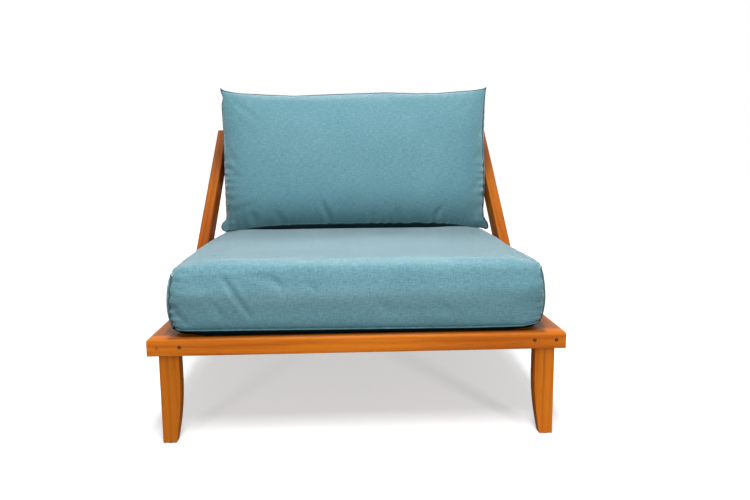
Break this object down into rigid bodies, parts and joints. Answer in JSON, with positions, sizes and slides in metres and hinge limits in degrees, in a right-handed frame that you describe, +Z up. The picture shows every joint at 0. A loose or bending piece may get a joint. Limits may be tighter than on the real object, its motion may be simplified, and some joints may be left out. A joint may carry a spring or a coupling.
{
  "type": "outdoor lounge chair",
  "caption": "Low outdoor lounge chair: slatted timber platform on tapered legs, sloping side braces, slatted back, loose seat and back cushions.",
  "frame": {"origin": "on the floor under the middle of the platform", "axes": "+X to the right of someone facing the chair's front, +Y to the back, +Z up"},
  "size_m": [0.85, 0.85, 0.7737],
  "materials": {
    "stained_timber": "orange-brown satin stain",
    "timber_plug": "darker end-grain plug",
    "stainless": "plain stainless fasteners",
    "glide_plastic": "black glide",
    "cover_cloth": "heathered teal outdoor canvas",
    "foam": "open-cell foam",
    "zip_tape": "nylon zip",
    "zip_metal": "dark painted slider"
  },
  "bodies": {
    "frame": {"front_rail": "stained_timber", "rear_rail": "stained_timber", "side_board_left": "stained_timber", "side_board_right": "stained_timber", "bearer_left": "stained_timber", "bearer_right": "stained_timber", "bearer_centre": "stained_timber", "seat_slat_1": "stained_timber", "seat_slat_2": "stained_timber", "seat_slat_3": "stained_timber", "seat_slat_4": "stained_timber", "seat_slat_5": "stained_timber", "seat_slat_6": "stained_timber", "seat_slat_7": "stained_timber", "seat_slat_8": "stained_timber", "front_leg_left": "stained_timber", "front_leg_right": "stained_timber", "rear_leg_left": "stained_timber", "rear_leg_right": "stained_timber", "foot_glides": "glide_plastic", "leg_hanger_bolts": "stainless", "leg_inserts": "stainless", "leg_dowels": "timber_plug", "rail_screws": "stainless", "rail_plugs": "timber_plug", "bearer_screws": "stainless", "bearer_dowels": "timber_plug", "seat_slat_screws": "stainless", "brace_left": "stained_timber", "brace_right": "stained_timber", "post_left": "stained_timber", "post_right": "stained_timber", "back_slat_1": "stained_timber", "back_slat_2": "stained_timber", "back_slat_3": "stained_timber", "brace_bolts": "stainless", "brace_washers": "stainless", "brace_nuts": "stainless", "foot_bolts": "stainless", "foot_inserts": "stainless", "back_slat_screws": "stainless"},
    "seat_cushion": {"seat_cover": "cover_cloth", "seat_foam": "foam", "seat_zip": "zip_tape"},
    "back_cushion": {"back_cover": "cover_cloth", "back_fill": "foam", "back_zip": "zip_tape"},
    "seat_slider": {"seat_zip_slider": "zip_metal"},
    "seat_puller": {"seat_zip_puller": "zip_metal"},
    "back_slider": {"back_zip_slider": "zip_metal"},
    "back_puller": {"back_zip_puller": "zip_metal"}
  },
  "joints": [
    {"name": "seat_cushion_lift", "type": "slide", "parent": "frame", "child": "seat_cushion", "axis": [0, -0.9397, 0.342], "range_m": [0, 0.25]},
    {"name": "back_cushion_lift", "type": "slide", "parent": "seat_cushion", "child": "back_cushion", "axis": [0, -0.9397, 0.342], "range_m": [0, 0.25]},
    {"name": "seat_zip_slide", "type": "slide", "parent": "seat_cushion", "child": "seat_slider", "axis": [1, 0, 0], "range_m": [0, 0.585]},
    {"name": "seat_zip_pull", "type": "hinge", "parent": "seat_slider", "child": "seat_puller", "pos_m": [-0.295, 0.3349, 0.2883], "axis": [0, 0, 1], "range_deg": [0, 80]},
    {"name": "back_zip_slide", "type": "slide", "parent": "back_cushion", "child": "back_slider", "axis": [1, 0, 0], "range_m": [0, 0.58]},
    {"name": "back_zip_pull", "type": "hinge", "parent": "back_slider", "child": "back_puller", "pos_m": [-0.286, 0.34405, 0.48997], "axis": [0, 0, 1], "range_deg": [0, 80]}
  ]
}
